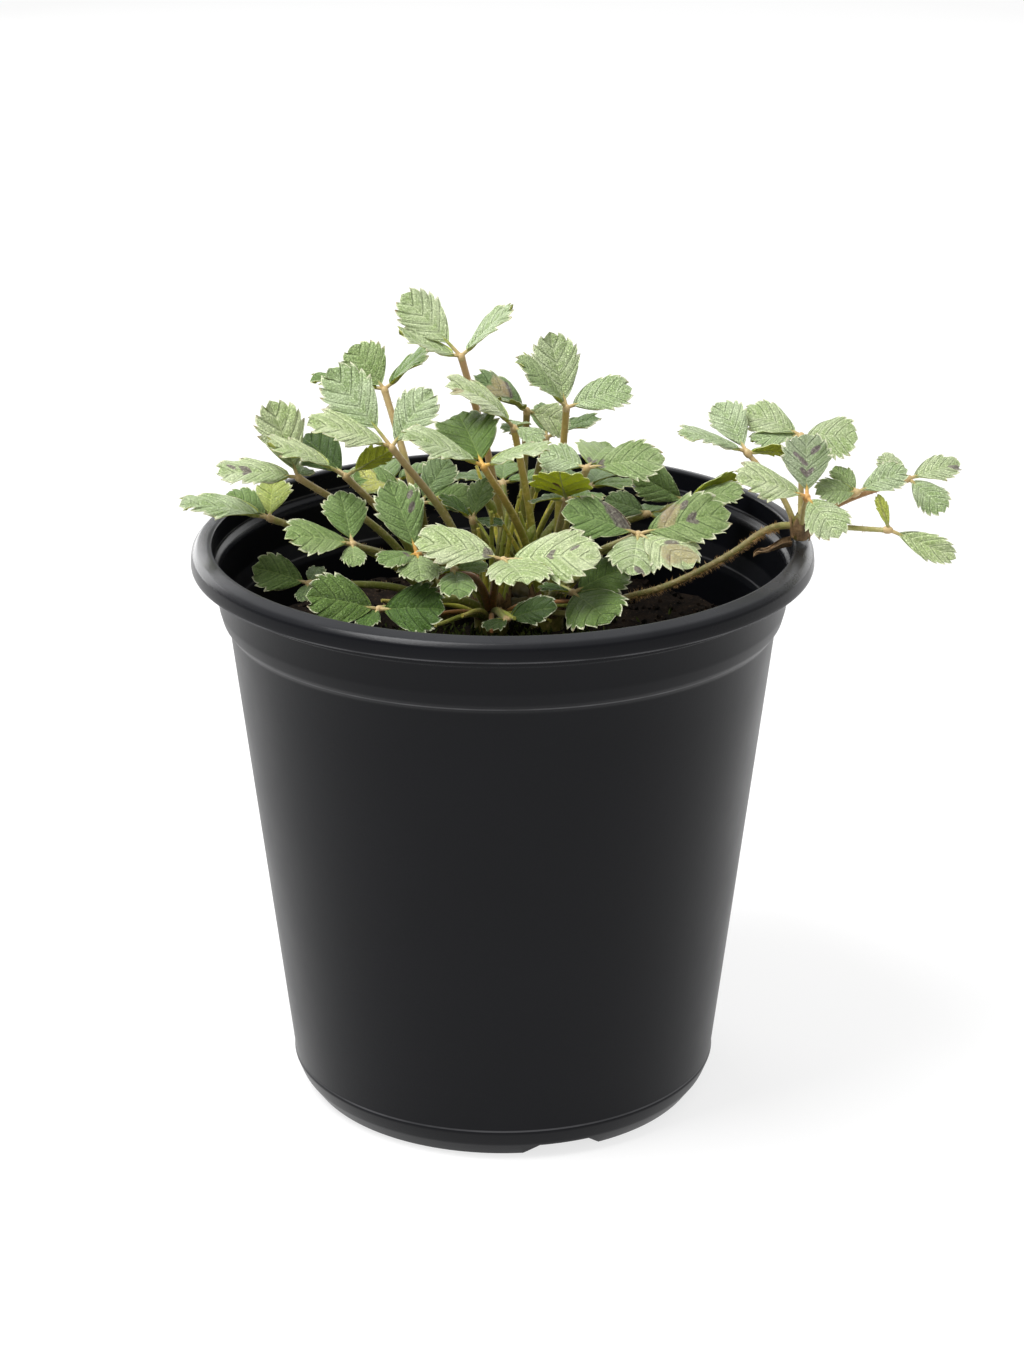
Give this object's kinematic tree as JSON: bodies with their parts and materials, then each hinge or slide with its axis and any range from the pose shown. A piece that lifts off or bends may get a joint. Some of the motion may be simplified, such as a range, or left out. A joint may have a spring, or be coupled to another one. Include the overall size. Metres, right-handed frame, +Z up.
{
  "type": "potted strawberry plant",
  "caption": "Strawberry plant in a round black nursery pot, with toothed leaves and a hairy runner that carries a daughter plant onto the rim.",
  "frame": {"origin": "centre of the pot's foot, on the surface that the pot stands on", "axes": "+Z up along the pot's axis, -Y towards the front of the plant, +X towards the daughter plant on the rim"},
  "size_m": [0.2063, 0.165, 0.2155],
  "materials": {
    "black_plastic": "satin",
    "peat": "matte",
    "petiole": "satin",
    "runner": "matte",
    "leaf": "matte",
    "dry_sheath": "matte"
  },
  "bodies": {
    "root": {"crown_petioles": "petiole", "daughter_petioles": "petiole", "dry_bract": "dry_sheath", "leaf_back_grey": "leaf", "leaf_back_right": "leaf", "leaf_back_rust": "leaf", "leaf_behind_right": "leaf", "leaf_centre": "leaf", "leaf_centre_arch": "leaf", "leaf_centre_low": "leaf", "leaf_d_far": "leaf", "leaf_d_left": "leaf", "leaf_d_low": "leaf", "leaf_d_mid": "leaf", "leaf_d_right": "leaf", "leaf_d_top": "leaf", "leaf_front_left": "leaf", "leaf_front_mid": "leaf", "leaf_front_right": "leaf", "leaf_front_small": "leaf", "leaf_high_right": "leaf", "leaf_left_far": "leaf", "leaf_left_high": "leaf", "leaf_left_mid": "leaf", "leaf_left_near": "leaf", "leaf_left_rim": "leaf", "leaf_low_dark": "leaf", "leaf_mid_grey": "leaf", "leaf_mid_left": "leaf", "leaf_olive": "leaf", "leaf_pit_left": "leaf", "leaf_rear_left": "leaf", "leaf_rear_mid": "leaf", "leaf_rear_right": "leaf", "leaf_right_big": "leaf", "leaf_right_low": "leaf", "leaf_scorched": "leaf", "leaf_top": "leaf", "leaf_top_left": "leaf", "leaf_yellow_back": "leaf", "pot": "black_plastic", "runner": "runner", "soil": "peat"}
  },
  "joints": []
}
